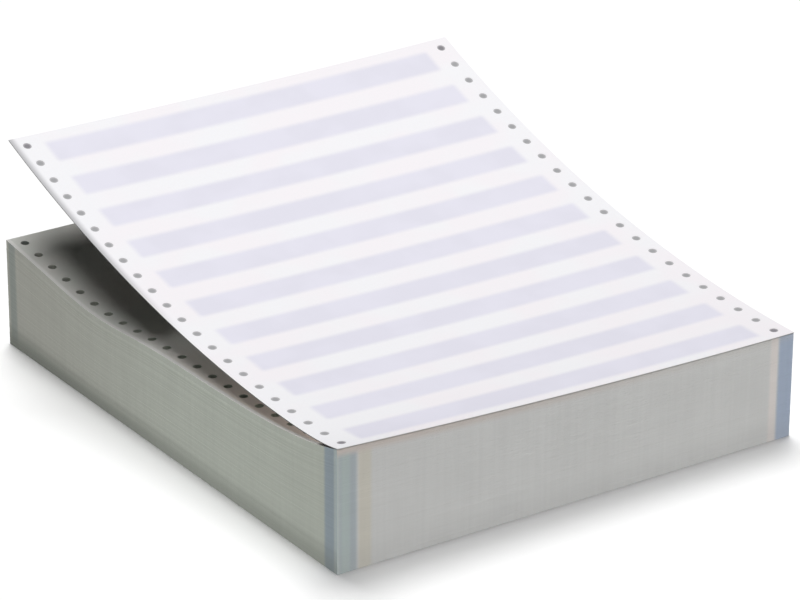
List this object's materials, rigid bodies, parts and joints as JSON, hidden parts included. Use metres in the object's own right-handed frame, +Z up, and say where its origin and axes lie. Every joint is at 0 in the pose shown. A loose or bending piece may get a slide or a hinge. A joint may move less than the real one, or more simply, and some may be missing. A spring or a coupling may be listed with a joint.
{
  "type": "fanfold continuous form paper",
  "caption": "Pack of fan-fold continuous form paper with punched margins and pale printed bars, its top leaf joined at the front fold and standing open at the back.",
  "frame": {"origin": "middle of the pack's underside, on the surface it rests on", "axes": "+Z up; +Y from the front folds, where the open leaf is joined, to the back folds; +X across the web's width"},
  "size_m": [0.2414, 0.2794, 0.1058],
  "materials": {
    "paper": "matt uncoated printing paper, near white, with pale lavender bars"
  },
  "bodies": {
    "root": {"fanfold_form": "paper"}
  },
  "joints": []
}
